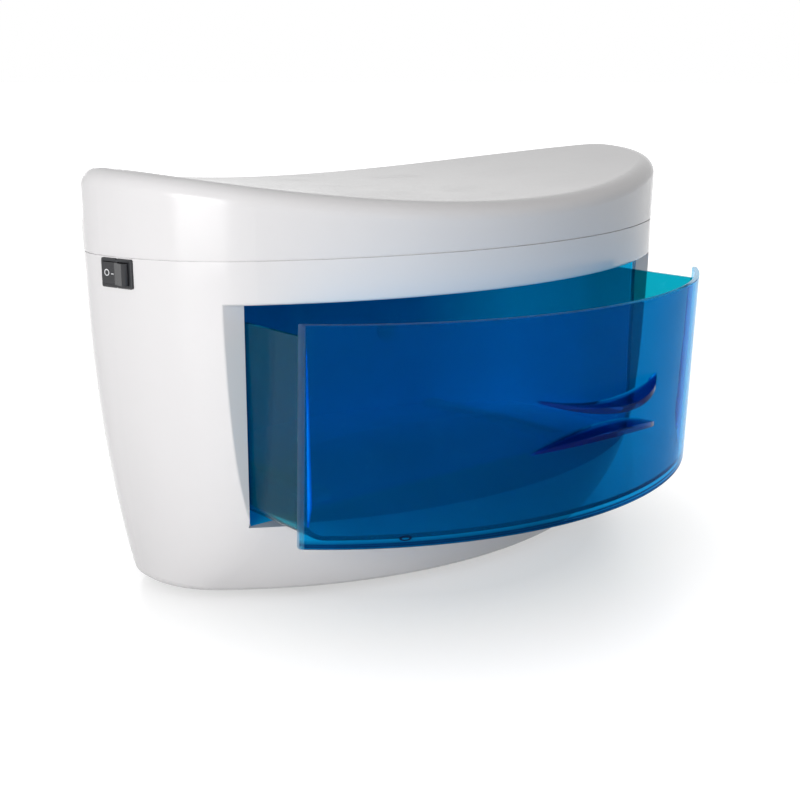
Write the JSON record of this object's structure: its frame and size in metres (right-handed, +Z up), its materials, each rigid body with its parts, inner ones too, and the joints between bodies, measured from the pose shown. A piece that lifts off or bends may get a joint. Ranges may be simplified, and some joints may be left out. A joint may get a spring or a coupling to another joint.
{
  "type": "ultraviolet sterilizer cabinet",
  "caption": "Desktop ultraviolet sterilizer case with a bowed see-through drawer, a saddle-shaped cover, an inner lamp deck and a side rocker switch.",
  "frame": {"origin": "midway between the four feet, on the surface they stand on", "axes": "+X to the right, the drawer front faces -Y, +Z up"},
  "size_m": [0.401, 0.3136, 0.2318],
  "materials": {
    "white_shell": "gloss",
    "white_base": "matt",
    "foot_rubber": "matt",
    "zinc_screw": "satin",
    "chamber_blue": "gloss",
    "strip_plastic": "satin",
    "deck_metal": "satin",
    "reflector_metal": "bright",
    "lamp_quartz": "clear",
    "cap_metal": "satin",
    "holder_plastic": "satin",
    "guard_wire": "bright",
    "core_steel": "matt",
    "coil_wrap": "matt",
    "starter_can": "satin",
    "terminal_plastic": "satin",
    "black_plastic": "satin",
    "pin_metal": "bright",
    "rocker_black": "gloss",
    "drawer_blue": "gloss, see-through",
    "front_blue": "gloss, see-through"
  },
  "bodies": {
    "case": {"main_housing": "white_shell", "base_plate": "white_base", "rubber_feet": "foot_rubber", "base_screws": "zinc_screw", "top_cover": "white_shell", "cover_screws": "zinc_screw", "drawer_chamber": "chamber_blue", "slide_strips": "strip_plastic", "closing_buffers": "foot_rubber", "lamp_deck": "deck_metal", "deck_screws": "zinc_screw", "reflector": "reflector_metal", "lamp_tube": "lamp_quartz", "lamp_end_caps": "cap_metal", "lamp_holders": "holder_plastic", "lamp_guard": "guard_wire", "ballast_core": "core_steel", "ballast_coil": "coil_wrap", "ballast_frame": "deck_metal", "starter": "starter_can", "starter_socket": "holder_plastic", "terminal_block": "terminal_plastic", "power_inlet": "black_plastic", "inlet_pins": "pin_metal", "switch_body": "black_plastic", "switch_blades": "pin_metal"},
    "drawer": {"drawer_tub": "drawer_blue", "drawer_front": "front_blue"},
    "rocker": {"switch_rocker": "rocker_black"}
  },
  "joints": [
    {"name": "drawer_slide", "type": "slide", "parent": "case", "child": "drawer", "axis": [0, -1, 0], "range_m": [-0.0592, 0.0451]},
    {"name": "rocker_hinge", "type": "hinge", "parent": "case", "child": "rocker", "pos_m": [-0.19617, -0.0222, 0.18], "axis": [0, 0, 1], "range_deg": [0, 20]}
  ]
}
